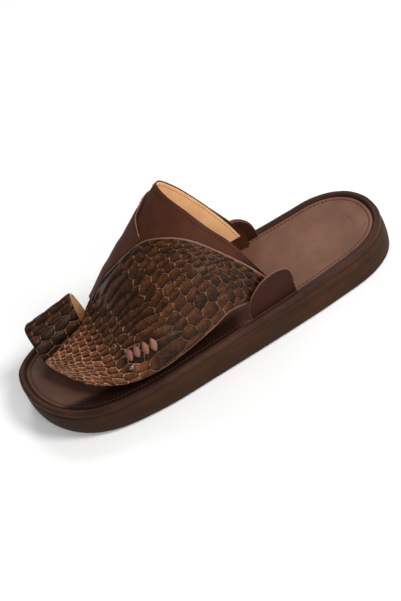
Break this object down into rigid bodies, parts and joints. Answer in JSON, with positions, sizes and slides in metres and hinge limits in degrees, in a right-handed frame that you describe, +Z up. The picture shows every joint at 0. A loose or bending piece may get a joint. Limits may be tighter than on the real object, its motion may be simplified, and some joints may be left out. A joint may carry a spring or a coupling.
{
  "type": "toe loop leather sandal",
  "caption": "Open-backed leather sandal: high arched vamp with a scaled overlay, big-toe loop, padded flat footbed and a thick smooth sole.",
  "frame": {"origin": "on the floor, under the middle of the sole's box", "axes": "+X to the toe, +Y to the outer side of the left foot, +Z up"},
  "size_m": [0.2908, 0.1125, 0.1257],
  "materials": {
    "sole": "smooth matte brown foam rubber",
    "rim_leather": "smooth brown leather, satin",
    "footbed_leather": "smooth lighter brown leather, satin",
    "smooth_leather": "smooth dark brown leather, satin",
    "scaled_leather": "glossy brown leather with raised snake-like scales",
    "lace_leather": "smooth light brown leather",
    "studs": "darkened metal"
  },
  "bodies": {
    "root": {"sole_block": "sole", "footbed_rim": "rim_leather", "insole": "footbed_leather", "upper": "smooth_leather", "medial_panel": "smooth_leather", "leaf_panel": "scaled_leather", "toe_loop": "scaled_leather", "tab_lateral": "smooth_leather", "tab_medial": "smooth_leather", "lace_bar_1": "lace_leather", "lace_bar_2": "lace_leather", "lace_bar_3": "lace_leather", "lace_bar_4": "lace_leather", "stud_1": "studs", "stud_2": "studs"}
  },
  "joints": []
}
